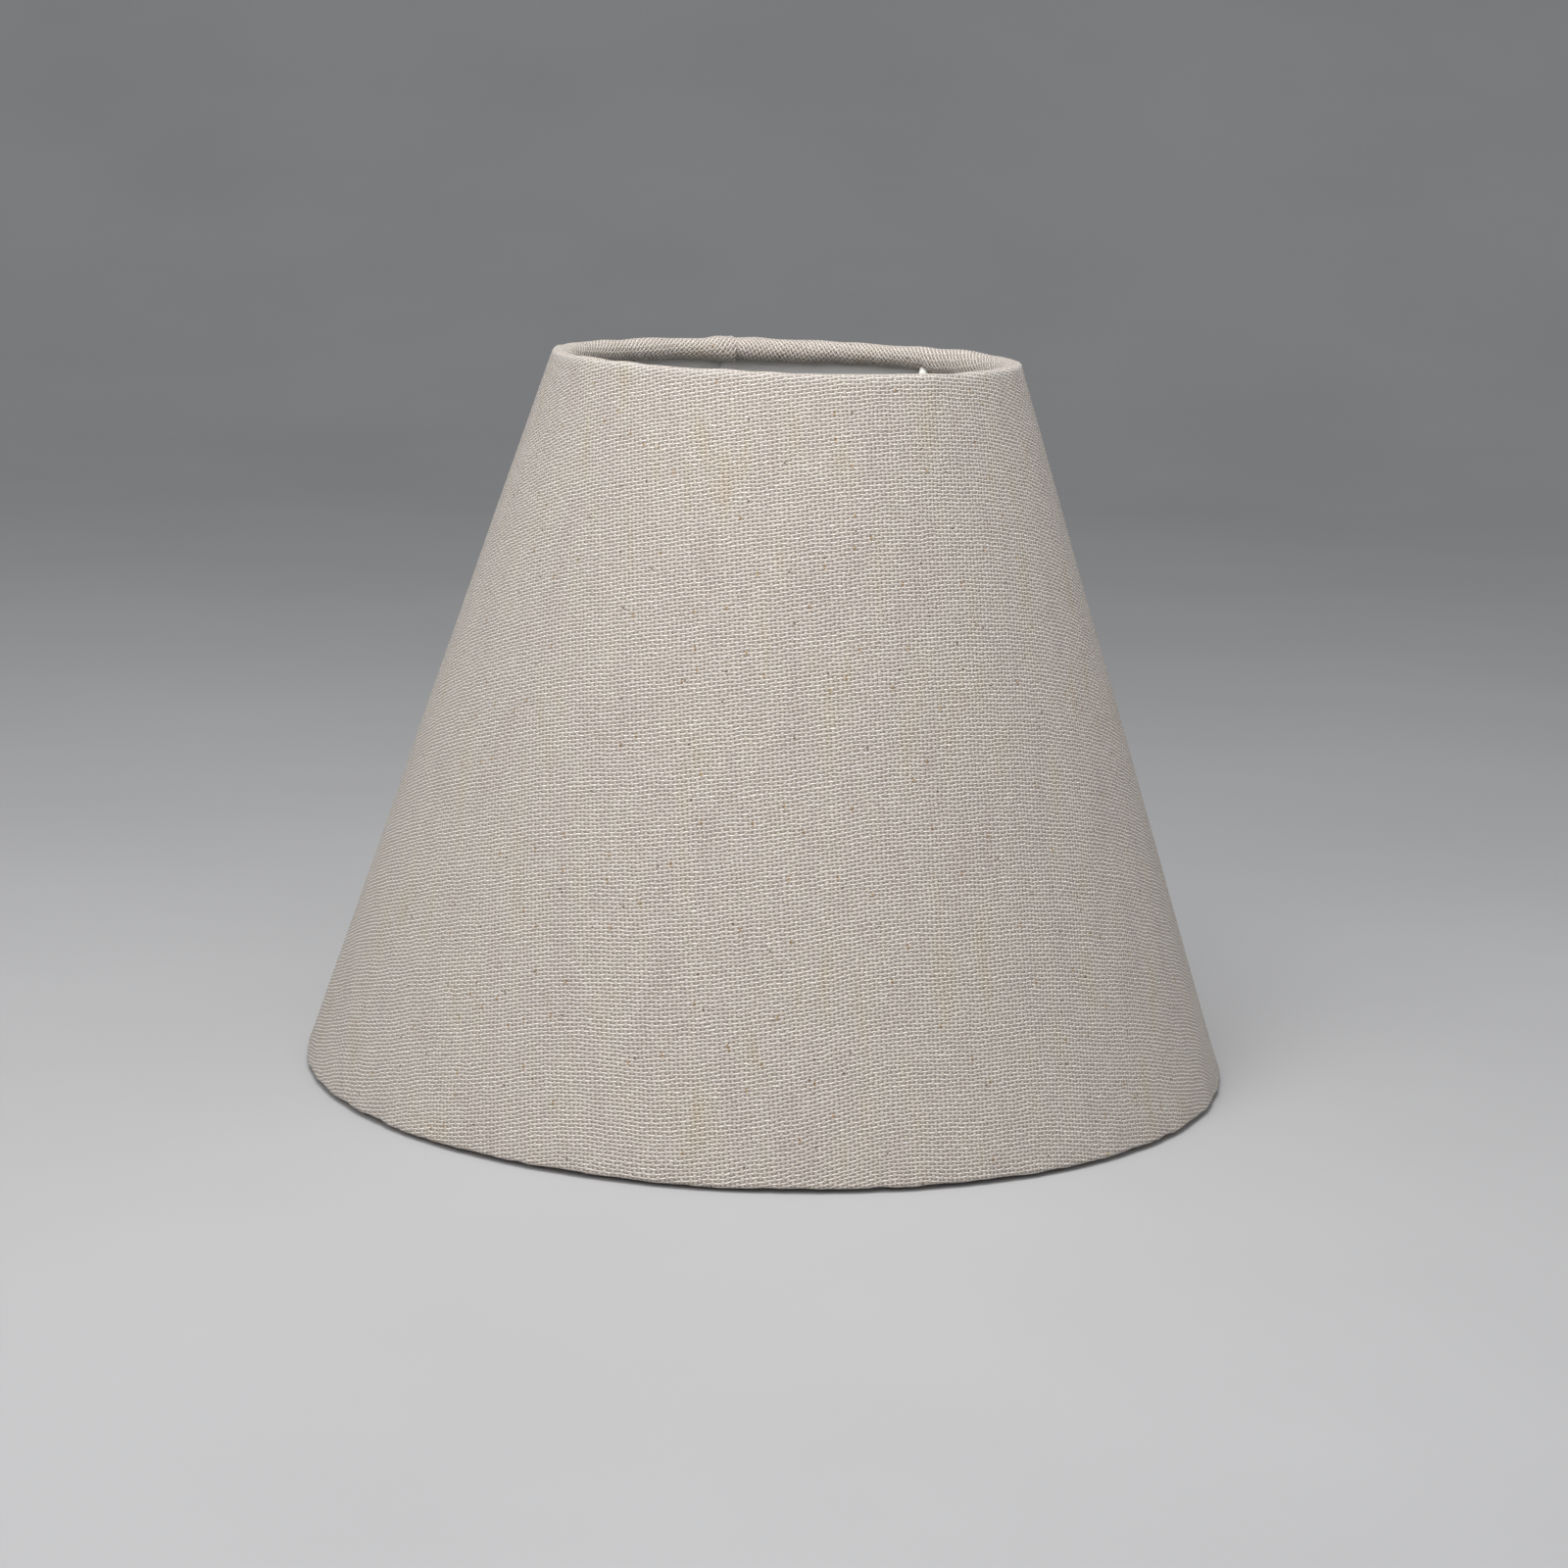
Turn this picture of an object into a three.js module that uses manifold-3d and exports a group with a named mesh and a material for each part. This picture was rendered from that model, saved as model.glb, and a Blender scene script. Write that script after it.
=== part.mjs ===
// A conical hard-backed lamp shade: woven cloth on a plastic liner, rolled over two wire rings,
// with a three-armed spider that drops to a fitter ring for the lampholder.
//
// Millimetres, +Z up. The origin is at the centre of the plane that the bottom hem stands on.
// The front is towards -Y, and the overlapped seam runs down the back.
// An azimuth is in degrees round the shade, 0 at the front and 90 towards +X.
// A section is drawn in the plane (distance from the axis, height).

import * as THREE from "three";
import { mergeGeometries, mergeVertices } from "three/addons/utils/BufferGeometryUtils.js";
import Module from "manifold-3d";

// Outline, over the cloth.
const BOTTOM_RADIUS = 127;
const TOP_RADIUS = 64.5;
const HEIGHT = 197;

// Stock.
const WIRE_RADIUS = 1.6;
const CLOTH = 0.7;
const LINER = 0.4;
const TAPE = 0.12;
const PLATE = 1.5;
const GAP = 0.15; // left between pieces that touch

// Hems: the cloth goes round each ring at this distance from the wire's centre, with some slack.
const HEM_RADIUS = 3.4;
const HEM_SLACK = 0.5;
const HEM_FACET = 30; // degrees of the bottom roll pressed flat, which the shade stands on
const BOTTOM_TURN_IN_ENDS = 105; // degrees round the slack turn where the cut edge is tucked
const TOP_TURN_IN_ENDS = 305;

// The seam down the back, as azimuths. The liner is closed first, then the cloth is lapped over it.
const LINER_LAP = 188.5; // the edge of the liner's outer layer
const CLOTH_FOLD = 194.5; // the folded edge of the cloth's outer layer
const UNDER_ENDS = 197; // where the cloth and the liner that lie underneath end
const LAP_RAMP = 6; // over which a lifted layer comes back down
const SEAM_STEP = 3;
const SHEET_STEP = 5;

// The spider and its fitter ring.
const ARM_AZIMUTHS = { front: 19, back: 139, side: 259 };
const FITTER_DROP = 90; // from the top of the shade to the top face of the fitter ring
const FITTER_BORE_RADIUS = 21;
const FITTER_RADIUS = 27;
const FITTER_DEPTH = 6;
const FITTER_INNER_BEND = 0.4;
const ARM_ROOT_ANGLE = 250; // degrees, where the arm meets the top ring's section
const ARM_FOOT = 6; // the level run before the arm meets the fitter ring
const ARM_BEND = 9;
const SNIP_CLEARANCE = 0.5; // round an arm, where the turned-in cloth is cut for it

const wasm = await Module();
wasm.setup();

// Section geometry.
const radians = THREE.MathUtils.degToRad;
const standing = HEM_RADIUS * Math.cos(radians(HEM_FACET / 2));
const bottomWire = new THREE.Vector2(BOTTOM_RADIUS - HEM_RADIUS, standing);
const topWire = new THREE.Vector2(TOP_RADIUS - HEM_RADIUS, HEIGHT - HEM_RADIUS);
const upTheSide = topWire.clone().sub(bottomWire).normalize();
const outward = new THREE.Vector2(upTheSide.y, -upTheSide.x);
const sideTilt = Math.atan2(outward.y, outward.x);

// The layers of the side wall, as the distance of each one's middle from the line of the wires.
const CLOTH_LAYER = HEM_RADIUS - CLOTH / 2;
const LINER_LAYER = HEM_RADIUS - CLOTH - GAP - LINER / 2;
const TAPE_LAYER = LINER_LAYER + LINER / 2 + GAP + TAPE / 2;

// How far the laps lift a layer off its place.
const LINER_LIFT = LINER + GAP + TAPE + GAP;
const FLAP_LIFT = LINER_LIFT + CLOTH + GAP;

function alongWall(from, to, layer) {
  const offset = outward.clone().multiplyScalar(layer);
  return [from.clone().add(offset), to.clone().add(offset)];
}

function arcPoints(centre, radius, fromAngle, toAngle, pieces) {
  const arc = new THREE.EllipseCurve(centre.x, centre.y, radius, radius, fromAngle, toAngle);
  return arc.getPoints(pieces);
}

// The middle line of the cloth, from the cut edge inside the bottom hem to the one inside the top hem.
function clothLine() {
  const slackUp = bottomWire.clone().add(new THREE.Vector2(0, HEM_SLACK));
  const slackDown = topWire.clone().sub(new THREE.Vector2(0, HEM_SLACK));
  const inward = Math.PI;
  const rollStart = radians(270 - 2.5 * HEM_FACET);
  const rollEnd = radians(270 + 2.5 * HEM_FACET);
  return [
    ...arcPoints(slackUp, CLOTH_LAYER, radians(BOTTOM_TURN_IN_ENDS), inward, 2),
    ...arcPoints(bottomWire, CLOTH_LAYER, rollStart, rollEnd, 5),
    bottomWire.clone().addScaledVector(outward, CLOTH_LAYER),
    ...arcPoints(topWire, CLOTH_LAYER, sideTilt, inward, 5),
    ...arcPoints(slackDown, CLOTH_LAYER, inward, radians(TOP_TURN_IN_ENDS), 3),
  ];
}

// Where a line of points faces, on its right-hand side.
function normalsOf(line) {
  return line.map((point, i) => {
    const before = line[Math.max(i - 1, 0)];
    const after = line[Math.min(i + 1, line.length - 1)];
    const along = after.clone().sub(before).normalize();
    return new THREE.Vector2(along.y, -along.x);
  });
}

// How far a point of a section is moved at a station. Under the bottom ring the laps go inwards
// instead, so that the shade stands level.
const lowestMiddle = standing * (1 - CLOTH_LAYER / HEM_RADIUS);

function shiftAt(point, station) {
  const above = THREE.MathUtils.clamp(
    (point.y - lowestMiddle) / (bottomWire.y - lowestMiddle), 0, 1);
  return THREE.MathUtils.lerp(station.tuck, station.lift, above);
}

// A sheet's section at a station: its outer face one way and its inner face back.
function sheetLoop(line, thickness, station) {
  const normals = normalsOf(line);
  const face = (offset) =>
    line.map((p, i) => p.clone().addScaledVector(normals[i], offset + shiftAt(p, station)));
  return [...face(thickness / 2), ...face(-thickness / 2).reverse()];
}

// Puts the points of a section into a geometry at an azimuth.
function placeSection(geometry, first, loop, azimuth) {
  const turn = radians(azimuth);
  loop.forEach(({ x, y }, i) =>
    geometry.attributes.position.setXYZ(first + i, x * Math.sin(turn), -x * Math.cos(turn), y),
  );
}

// A sheet that is rolled up round the shade, closed at both of its ends.
function rolledSheet(line, thickness, path) {
  const stations = stationsAlong(path);
  const loops = stations.map((station) => sheetLoop(line, thickness, station));
  const closed = loops.map((loop) => [...loop, loop[0]]);
  const side = new THREE.LatheGeometry(closed[0], stations.length - 1);
  stations.forEach(({ azimuth }, i) => placeSection(side, i * closed[i].length, closed[i], azimuth));
  const ends = [0, stations.length - 1].map((i) => {
    const cap = new THREE.ShapeGeometry(new THREE.Shape(loops[i]));
    placeSection(cap, 0, capOrder(cap, loops[i]), stations[i].azimuth);
    if (i > 0) cap.setIndex([...cap.index.array].reverse());
    return cap;
  });
  return facingOut(mergeGeometries([side, ...ends].map(onlyPosition)));
}

// A ShapeGeometry may turn its outline round, so its own points say which order it kept.
function capOrder(cap, loop) {
  const kept = cap.attributes.position;
  const same = Math.abs(kept.getX(1) - loop[1].x) + Math.abs(kept.getY(1) - loop[1].y) < 1e-3;
  return same ? loop : [...loop].reverse();
}

function onlyPosition(geometry) {
  geometry.deleteAttribute("normal");
  geometry.deleteAttribute("uv");
  return geometry;
}

function signedVolume(geometry) {
  const { position } = geometry.attributes;
  const [a, b, c] = [0, 1, 2].map(() => new THREE.Vector3());
  let sum = 0;
  for (let i = 0; i < geometry.index.count; i += 3) {
    [a, b, c].forEach((corner, k) => corner.fromBufferAttribute(position, geometry.index.getX(i + k)));
    sum += a.dot(b.cross(c)) / 6;
  }
  return sum;
}

function facingOut(geometry) {
  const merged = mergeVertices(geometry, 1e-4);
  if (signedVolume(merged) < 0) merged.setIndex([...merged.index.array].reverse());
  return merged;
}

// Every layer has its stations at the same azimuths, so that their flats stay parallel.
function sharedAzimuths() {
  const series = (first, last, step) =>
    Array.from({ length: Math.round((last - first) / step) + 1 }, (_, i) => first + i * step);
  const seam = series(LINER_LAP - LAP_RAMP, CLOTH_FOLD + 2 * LAP_RAMP, SEAM_STEP);
  return [...seam.map((azimuth) => azimuth - 360), ...series(-150, 180, SHEET_STEP), ...seam];
}

// A path says how far the sheet is lifted at a few azimuths, and the stations go evenly between them.
function stationsAlong(path) {
  const [first, last] = [path[0].azimuth, path.at(-1).azimuth];
  const between = sharedAzimuths().filter((azimuth) => azimuth > first && azimuth < last);
  return [first, ...between, last].map((azimuth) => {
    const next = path.findIndex((knot, i) => i > 0 && azimuth <= knot.azimuth);
    const [a, b] = [path[next - 1], path[next]];
    const part = (azimuth - a.azimuth) / (b.azimuth - a.azimuth);
    const lift = THREE.MathUtils.lerp(a.lift, b.lift, part);
    const tuck = THREE.MathUtils.lerp(a.tuck ?? 0, b.tuck ?? 0, part);
    return { azimuth, lift, tuck };
  });
}

// From the folded edge, round the left side and the front, to the end that lies under the fold.
const rampStart = CLOTH_FOLD + SEAM_STEP - 360;
const CLOTH_PATH = [
  { azimuth: CLOTH_FOLD - 360, lift: FLAP_LIFT },
  { azimuth: rampStart, lift: FLAP_LIFT },
  { azimuth: rampStart + LAP_RAMP, lift: 0 },
  { azimuth: LINER_LAP - LAP_RAMP, lift: 0 },
  { azimuth: LINER_LAP, lift: LINER_LIFT },
  { azimuth: CLOTH_FOLD - SEAM_STEP, lift: LINER_LIFT },
  { azimuth: CLOTH_FOLD, lift: LINER_LIFT, tuck: -CLOTH - GAP },
  { azimuth: UNDER_ENDS, lift: LINER_LIFT, tuck: -CLOTH - GAP },
];
const LINER_PATH = [
  { azimuth: LINER_LAP - 360, lift: LINER_LIFT },
  { azimuth: rampStart, lift: LINER_LIFT },
  { azimuth: rampStart + LAP_RAMP, lift: 0 },
  { azimuth: UNDER_ENDS, lift: 0 },
];
const TAPE_INSET = 0.5;
const TAPE_PATH = [
  { azimuth: LINER_LAP + TAPE_INSET, lift: 0 },
  { azimuth: UNDER_ENDS - TAPE_INSET, lift: 0 },
];

// Booleans, on closed geometry in the shade's frame.
function solidOf(geometry) {
  const merged = mergeVertices(onlyPosition(geometry.clone()), 1e-4);
  const vertProperties = merged.attributes.position.array;
  const triVerts = new Uint32Array(merged.index.array);
  return new wasm.Manifold(new wasm.Mesh({ numProp: 3, vertProperties, triVerts }));
}

function geometryOf(solid) {
  const { vertProperties, triVerts } = solid.getMesh();
  const geometry = new THREE.BufferGeometry();
  geometry.setAttribute("position", new THREE.BufferAttribute(vertProperties, 3));
  geometry.setIndex(new THREE.BufferAttribute(triVerts, 1));
  return geometry;
}

// Turns something drawn in the plane of azimuth 90 to another azimuth.
const turnedTo = (azimuth) => new THREE.Matrix4().makeRotationZ(radians(azimuth - 90));

// The arm's centreline, from the underside of the top ring to the wall of the fitter ring.
function armEnds() {
  const angle = radians(ARM_ROOT_ANGLE);
  const root = new THREE.Vector2(Math.cos(angle), Math.sin(angle));
  root.multiplyScalar(WIRE_RADIUS + GAP).add(topWire);
  const footHeight = HEIGHT - FITTER_DROP - PLATE - WIRE_RADIUS - GAP;
  const corner = new THREE.Vector2(FITTER_RADIUS + ARM_FOOT, footHeight);
  const tip = new THREE.Vector2(FITTER_RADIUS + GAP, footHeight);
  return { root, corner, tip };
}

function armLine() {
  const { root, corner, tip } = armEnds();
  const in3d = (p) => new THREE.Vector3(p.x, 0, p.y);
  const bendStart = corner.clone().add(root.clone().sub(corner).setLength(ARM_BEND));
  const bendEnd = corner.clone().lerp(tip, 0.8);
  const line = new THREE.CurvePath();
  line.add(new THREE.LineCurve3(in3d(root), in3d(bendStart)));
  line.add(new THREE.QuadraticBezierCurve3(in3d(bendStart), in3d(corner), in3d(bendEnd)));
  line.add(new THREE.LineCurve3(in3d(bendEnd), in3d(tip)));
  return line;
}

function roundSection(radius, sides) {
  const corners = new THREE.EllipseCurve(0, 0, radius, radius).getPoints(sides).slice(0, sides);
  return new THREE.Shape(corners);
}

function wireAlong(line, steps) {
  const shape = roundSection(WIRE_RADIUS, 10);
  return new THREE.ExtrudeGeometry(shape, { steps, extrudePath: line });
}

// The cut in the turned-in cloth that lets an arm out: a hole round the wire, open to the cut edge.
function snip(azimuth) {
  const { root, corner } = armEnds();
  const radius = WIRE_RADIUS + SNIP_CLEARANCE;
  const down = corner.clone().sub(root).normalize();
  const reach = 2 * HEM_RADIUS;
  const hole = new THREE.CylinderGeometry(radius, radius, reach, 16);
  hole.rotateX(Math.PI / 2).rotateY(Math.atan2(-down.x, -down.y));
  const middle = root.clone().addScaledVector(down, reach / 2);
  hole.translate(middle.x, 0, middle.y);
  const slit = new THREE.BoxGeometry(HEM_RADIUS + WIRE_RADIUS, 2 * radius, HEM_RADIUS);
  slit.translate(topWire.x + HEM_RADIUS / 4, 0, topWire.y - HEM_SLACK - HEM_RADIUS);
  const cut = solidOf(hole).add(solidOf(slit));
  return cut.transform([...turnedTo(azimuth).elements]);
}

function fabricCover() {
  const sheet = solidOf(rolledSheet(clothLine(), CLOTH, CLOTH_PATH));
  const cut = Object.values(ARM_AZIMUTHS).reduce((left, azimuth) => left.subtract(snip(azimuth)), sheet);
  return geometryOf(cut);
}

function plasticLiner() {
  return rolledSheet(alongWall(bottomWire, topWire, LINER_LAYER), LINER, LINER_PATH);
}

function seamTape() {
  const inset = 2 * HEM_RADIUS;
  const low = bottomWire.clone().addScaledVector(upTheSide, inset);
  const high = topWire.clone().addScaledVector(upTheSide, -inset);
  return rolledSheet(alongWall(low, high, TAPE_LAYER), TAPE, TAPE_PATH);
}

function wireRing(wire) {
  const ring = new THREE.TorusGeometry(wire.x, WIRE_RADIUS, 10, 360 / SHEET_STEP);
  return ring.translate(0, 0, wire.y);
}

// A pressed ring: a flat seat with a wall turned down, which the arms are welded to.
function fitterRing() {
  const seat = HEIGHT - FITTER_DROP;
  const corner = new THREE.Vector2(FITTER_RADIUS - PLATE, seat - PLATE);
  const seatEnds = new THREE.Vector2(corner.x - FITTER_INNER_BEND, corner.y);
  const wallStarts = new THREE.Vector2(corner.x, corner.y - FITTER_INNER_BEND);
  const section = [
    new THREE.Vector2(FITTER_BORE_RADIUS, seat),
    ...arcPoints(corner, PLATE, 0, Math.PI / 2, 3).reverse(),
    new THREE.Vector2(FITTER_RADIUS, seat - FITTER_DEPTH),
    new THREE.Vector2(FITTER_RADIUS - PLATE, seat - FITTER_DEPTH),
    wallStarts,
    seatEnds,
    new THREE.Vector2(FITTER_BORE_RADIUS, seat - PLATE),
    new THREE.Vector2(FITTER_BORE_RADIUS, seat),
  ];
  const ring = new THREE.LatheGeometry(section, 360 / SHEET_STEP).rotateX(Math.PI / 2);
  return facingOut(onlyPosition(ring));
}

const CLOTH_FINISH = new THREE.MeshStandardMaterial({ color: "#cfc4b6", roughness: 0.95, metalness: 0 });
const LINER_FINISH = new THREE.MeshStandardMaterial({ color: "#e9e7e2", roughness: 0.55, metalness: 0 });
const TAPE_FINISH = new THREE.MeshStandardMaterial({ color: "#e3dfd2", roughness: 0.4, metalness: 0 });
const ENAMEL_FINISH = new THREE.MeshStandardMaterial({ color: "#eceae4", roughness: 0.4, metalness: 0 });

const shade = new THREE.Group();

function addPiece(name, geometry, material) {
  const mesh = new THREE.Mesh(geometry, material);
  mesh.name = name;
  shade.add(mesh);
  return mesh;
}

addPiece("fabric_cover", fabricCover(), CLOTH_FINISH);
addPiece("plastic_liner", plasticLiner(), LINER_FINISH);
addPiece("seam_tape", seamTape(), TAPE_FINISH);
addPiece("top_wire_ring", wireRing(topWire), ENAMEL_FINISH);
addPiece("bottom_wire_ring", wireRing(bottomWire), ENAMEL_FINISH);
addPiece("fitter_ring", fitterRing(), ENAMEL_FINISH);
for (const [side, azimuth] of Object.entries(ARM_AZIMUTHS)) {
  const arm = addPiece(`spider_arm_${side}`, wireAlong(armLine(), 14), ENAMEL_FINISH);
  arm.rotation.z = radians(azimuth - 90);
}

export default shade;
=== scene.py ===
"""A conical lamp shade of coarse undyed cloth on a white plastic liner, rolled over two wire rings.

A three-armed spider hangs inside it. Lengths are in millimetres until a point goes into a mesh.
An azimuth is in degrees round the shade, 0 at the front (-Y) and 90 towards +X.
A section is drawn as (distance from the axis, height).
"""

import math

import bmesh
import bpy
from mathutils import Matrix, Vector, noise


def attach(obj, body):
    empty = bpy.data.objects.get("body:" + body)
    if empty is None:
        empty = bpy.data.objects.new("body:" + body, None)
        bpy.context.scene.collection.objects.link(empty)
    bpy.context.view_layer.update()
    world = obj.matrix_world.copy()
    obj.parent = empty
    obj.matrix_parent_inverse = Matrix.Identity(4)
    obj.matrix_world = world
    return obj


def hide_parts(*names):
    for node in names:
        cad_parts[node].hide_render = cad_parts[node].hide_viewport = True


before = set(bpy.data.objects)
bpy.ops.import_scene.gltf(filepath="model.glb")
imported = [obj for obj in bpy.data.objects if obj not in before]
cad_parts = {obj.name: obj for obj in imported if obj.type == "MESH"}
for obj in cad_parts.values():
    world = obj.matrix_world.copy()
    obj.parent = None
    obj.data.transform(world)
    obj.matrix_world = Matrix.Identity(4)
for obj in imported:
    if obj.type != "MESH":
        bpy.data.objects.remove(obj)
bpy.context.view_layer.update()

MM = 0.001
MERGE = 0.01 * MM

# Outline over the cloth, and the wire and hems that give it.
BOTTOM_RADIUS = 127.0
TOP_RADIUS = 64.5
HEIGHT = 197.0
WIRE_RADIUS = 1.6
HEM_RADIUS = 3.4
TOP_ROLL_RADIUS = 3.1  # of the cloth turned in round the top wire, which it grips more tightly
HEM_SLACK = 0.5
HEM_STANDING = 3.28  # height of the bottom wire's centre
BOTTOM_TURN_IN_ENDS = 105
TOP_TURN_IN_ENDS = 305
EDGE_RADIUS = 1.0  # of the crisp fold where each hem turns off the side
TOP_EDGE_FACES = 90  # degrees, the way the cloth faces between the fold and the roll
BOTTOM_EDGE_FACES = -72
CLOTH = 0.7  # thickness
LINER = 0.4
GAP = 0.15  # between the liner and the cloth, and between the fitter and the arms

ARM_BACK = 139  # azimuth of the spider's arm at the back

# The seam down the back, as azimuths, and how far its laps lift the layers.
LINER_LAP = 188.5
CLOTH_FOLD = 194.5
UNDER_ENDS = 197.0
LAP_FALLS_FROM = 198.0
LAP_FALLS_TO = 202.5
LINER_LIFT = 0.82
FLAP_LIFT = 1.6
UNDER_TUCK = -0.45  # on the hems' rolls, where the lower lap is pressed against the wire
ROLL_LIFT = 0.3  # of the upper lap there
FOLD_BEAD = 0.15  # how much the folded edge stands up
FOLD_WIDTH = 1.2  # degrees
LINER_LAP_SLOPE = 6.0  # degrees over which the cloth climbs on the liner's lap
TUCK_SLOPE = 4.0  # degrees over which the lower lap goes in
LAP_SINKS = (0.5, 5.0)  # past either fold, where a lap stops standing out from the side
ROLL_LIFT_GROWS = (-1.0, 3.0)  # past the top fold

# The turned-in cloth at the top hangs lower in front of the back arm.
SAG_BY_ARM = 1.2
SAG_GROWS = (4.0, 10.0)  # past the top fold
SAG_BEGINS = (70, 100)  # azimuths
SAG_ENDS = (ARM_BACK - 2, ARM_BACK + 1)

NOISE_SPREAD = 1.6  # brings the noise to about -1 to 1

# Lumps in the cloth: their height, size and seed.
SAG_LUMPS = (0.25, 12.0, 160.0)
SIDE_LUMPS = (0.12, 38.0, 0.0)
HEM_LUMPS = (0.28, 9.0, 40.0)
HEM_LEAN = -0.168  # how far the bottom hem's lumps lie inwards on the whole
HEM_FRAY = (0.16, 3.4, 120.0)
TOP_LUMPS = (0.26, 17.0, 80.0)

# How far up or down the side they fade out, counted from the side's ends.
HEM_LUMPS_FADE = (-4.0, 16.0)
HEM_FRAY_FADE = (-1.0, 4.0)
TOP_LUMPS_FADE = (-2.0, 10.0)

# The weave: threads to the flat pattern, the lie of the grain, and the slow waves in the weft.
WARP_PITCH = 1.16
WEFT_PITCH = 1.03
GRAIN_AZIMUTH = 14.0
GRAIN_TURN = 0.029
WEFT_BOW = ((354.0, 6.3, -0.1), (119.0, 0.38, 5.81))  # (wavelength, height, phase), from top to bottom
WEFT_PULLS = ((110.0, 1.57, 0.87), (69.6, 0.72, 2.24), (42.2, 0.47, 1.13))  # the same, at the bottom hem
PULL_REACH = 62.0
SIDE_STEP = 7.0  # between the points of the sheets up the side
ROLL_STEP = 0.85  # and round the wires
CLOSE_STEP = 1.0  # and just below the top fold
CLOSE_LENGTH = 4.0  # of the side below the top fold that has them
COVER_STATIONS = 0.6  # degrees between the upright lines of points
LINER_STATIONS = 1.5

# The spider.
ARM_AZIMUTHS = {"front": ARM_BACK - 120, "back": ARM_BACK, "side": ARM_BACK + 120}
FITTER_TOP = 107.0
FITTER_BORE_RADIUS = 21.0
FITTER_RADIUS = 27.0
FITTER_DEPTH = 6.0
PLATE = 1.5
ARM_ROOT_ANGLE = 250
ARM_FOOT = 6.0
ARM_BEND = 9.0
BEND_END = 0.8  # share of the way from the corner to the tip
BEND_ROUNDING = 0.67  # share of the way to the corner that the bend's handles reach
SNIP_CLEARANCE = 0.2
SNIP_STARTS = 0.8  # below the top wire's centre, in hem radii
SNIP_ENDS = 2.0  # below the arm's root, in hem radii
ROOT_BEAD = 1.75  # radius of the weld bead at the top ring
FOOT_BEAD = 2.2  # and of the one at the fitter ring
BEAD_LUMPS = 0.12  # share of a bead's radius
BEAD_LUMPS_PER_MM = 0.9
NEAR = 0.05  # how close two places count as the same

# The threads, as (warp, weft), with a 0 where a vector is needed.
# A height of 1 is near the face of the cloth.
THREAD_SWING = (0.46, 0.25, 0)
THREAD_MIDDLE = (0.81, 0.97, 0)
THREAD_UNEVEN = (-0.24, -0.24, 0)
THREAD_HALF_WIDTH = (0.5, 0.265)  # in shares of the pitch
SLUB_RATE = 0.13  # how fast a yarn's tone changes, for each thread that it crosses

# The same cloth in millimetres: how far its yarns wander, the depth of its relief, its tint patches and the
# painted highlight along its top fold.
YARN_DRIFT = 1.5
YARN_DRIFT_LENGTH = 6.5
THREAD_RELIEF = 0.45
FIBRE_GRAIN = 0.5
TINT_PATCH = (7.0, 34.0)
# Reach of the painted highlight along the top fold, and its share of white.
FOLD_HIGHLIGHT_REACH = 0.9
FOLD_HIGHLIGHT_SHARE = 0.22  # share of white on the fold

# Flecks: cell size, reach in cells, share of the cells that have one, colour and strength.
FLECKS = (
    ((9.0, 8.0), 0.05, 0.22, "#6B5340", 0.85),
    ((4.2, 9.0), 0.11, 0.16, "#D8BE93", 0.8),
)
FLECK_CORE = 0.4  # share of a fleck's reach at which it has its full strength

# The camera: lengths in millimetres and turns in radians.
CAMERA_DISTANCE = 974.9
CAMERA_HEIGHT = 266.4
CAMERA_LENS = 82.04
CAMERA_TIP = 0.1905
CAMERA_YAW = 0.0032
CAMERA_ROLL = 0.0334

# The floor lies a little below zero, because the hem's lumps reach below it.
FLOOR_HEIGHT = -0.3

# The floor, in metres: its size, how far it is moved to the front, and the sweep up at its back edge.
FLOOR_SIZE = 8
FLOOR_FORWARD = -1
FLOOR_BACK_EDGE = FLOOR_SIZE / 2 + FLOOR_FORWARD - 0.1
SWEEP_HEIGHT = 5
SWEEP_RADIUS = 1.6
SWEEP_FACES = 24

# The lights: name, place in metres, size in metres, power in watts and colour.
SOFT_LIGHTS = (
    ("key_light", (-0.5, -1.0, 0.8), 0.8, 5.1, "#FFFDFC"),
    ("fill_light", (1.4, -1.2, 1.1), 1.5, 2.85, "#FCFCFF"),
    ("top_light", (-0.05, -0.25, 0.85), 0.5, 5.3, "#FFFFFF"),
)
SURROUND_COLOUR = "#E6E8EA"
SURROUND_STRENGTH = 0.48

bottom_wire = Vector((BOTTOM_RADIUS - HEM_RADIUS, HEM_STANDING))
top_wire = Vector((TOP_RADIUS - HEM_RADIUS, HEIGHT - HEM_RADIUS))
up_the_side = (top_wire - bottom_wire).normalized()
outward = Vector((up_the_side.y, -up_the_side.x))
side_tilt = math.atan2(outward.y, outward.x)
cone_sine = -up_the_side.x  # of the angle between the side and the axis


def fold_centre(wire, faces):
    """Centre of the crisp fold between the side and the cloth that faces the given way, both on the hem."""
    other = Vector((math.cos(math.radians(faces)), math.sin(math.radians(faces))))
    return wire + (outward + other) * (HEM_RADIUS - EDGE_RADIUS) / (1 + outward.dot(other))


top_fold = fold_centre(top_wire, TOP_EDGE_FACES)
bottom_fold = fold_centre(bottom_wire, BOTTOM_EDGE_FACES)

# Distance from the cone's tip, along the cloth, of the two ends of the straight side.
top_run = (top_fold + outward * EDGE_RADIUS).x / cone_sine
bottom_run = (bottom_fold + outward * EDGE_RADIUS).x / cone_sine


# ---------------------------------------------------------------- sections


def arc(centre, radius, start, stop, step):
    """Points with their normals along an arc, by angles in radians."""
    count = max(2, math.ceil(abs(stop - start) * radius / step))
    angles = [start + (stop - start) * i / count for i in range(count + 1)]
    rays = [Vector((math.cos(a), math.sin(a))) for a in angles]
    return [(centre + radius * ray, ray) for ray in rays]


def straight(start, stop, step, normal=outward):
    """Points with their normal along a straight line, without its ends."""
    count = math.ceil((stop - start).length / step)
    return [(start.lerp(stop, i / count), normal) for i in range(1, count)]


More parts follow.
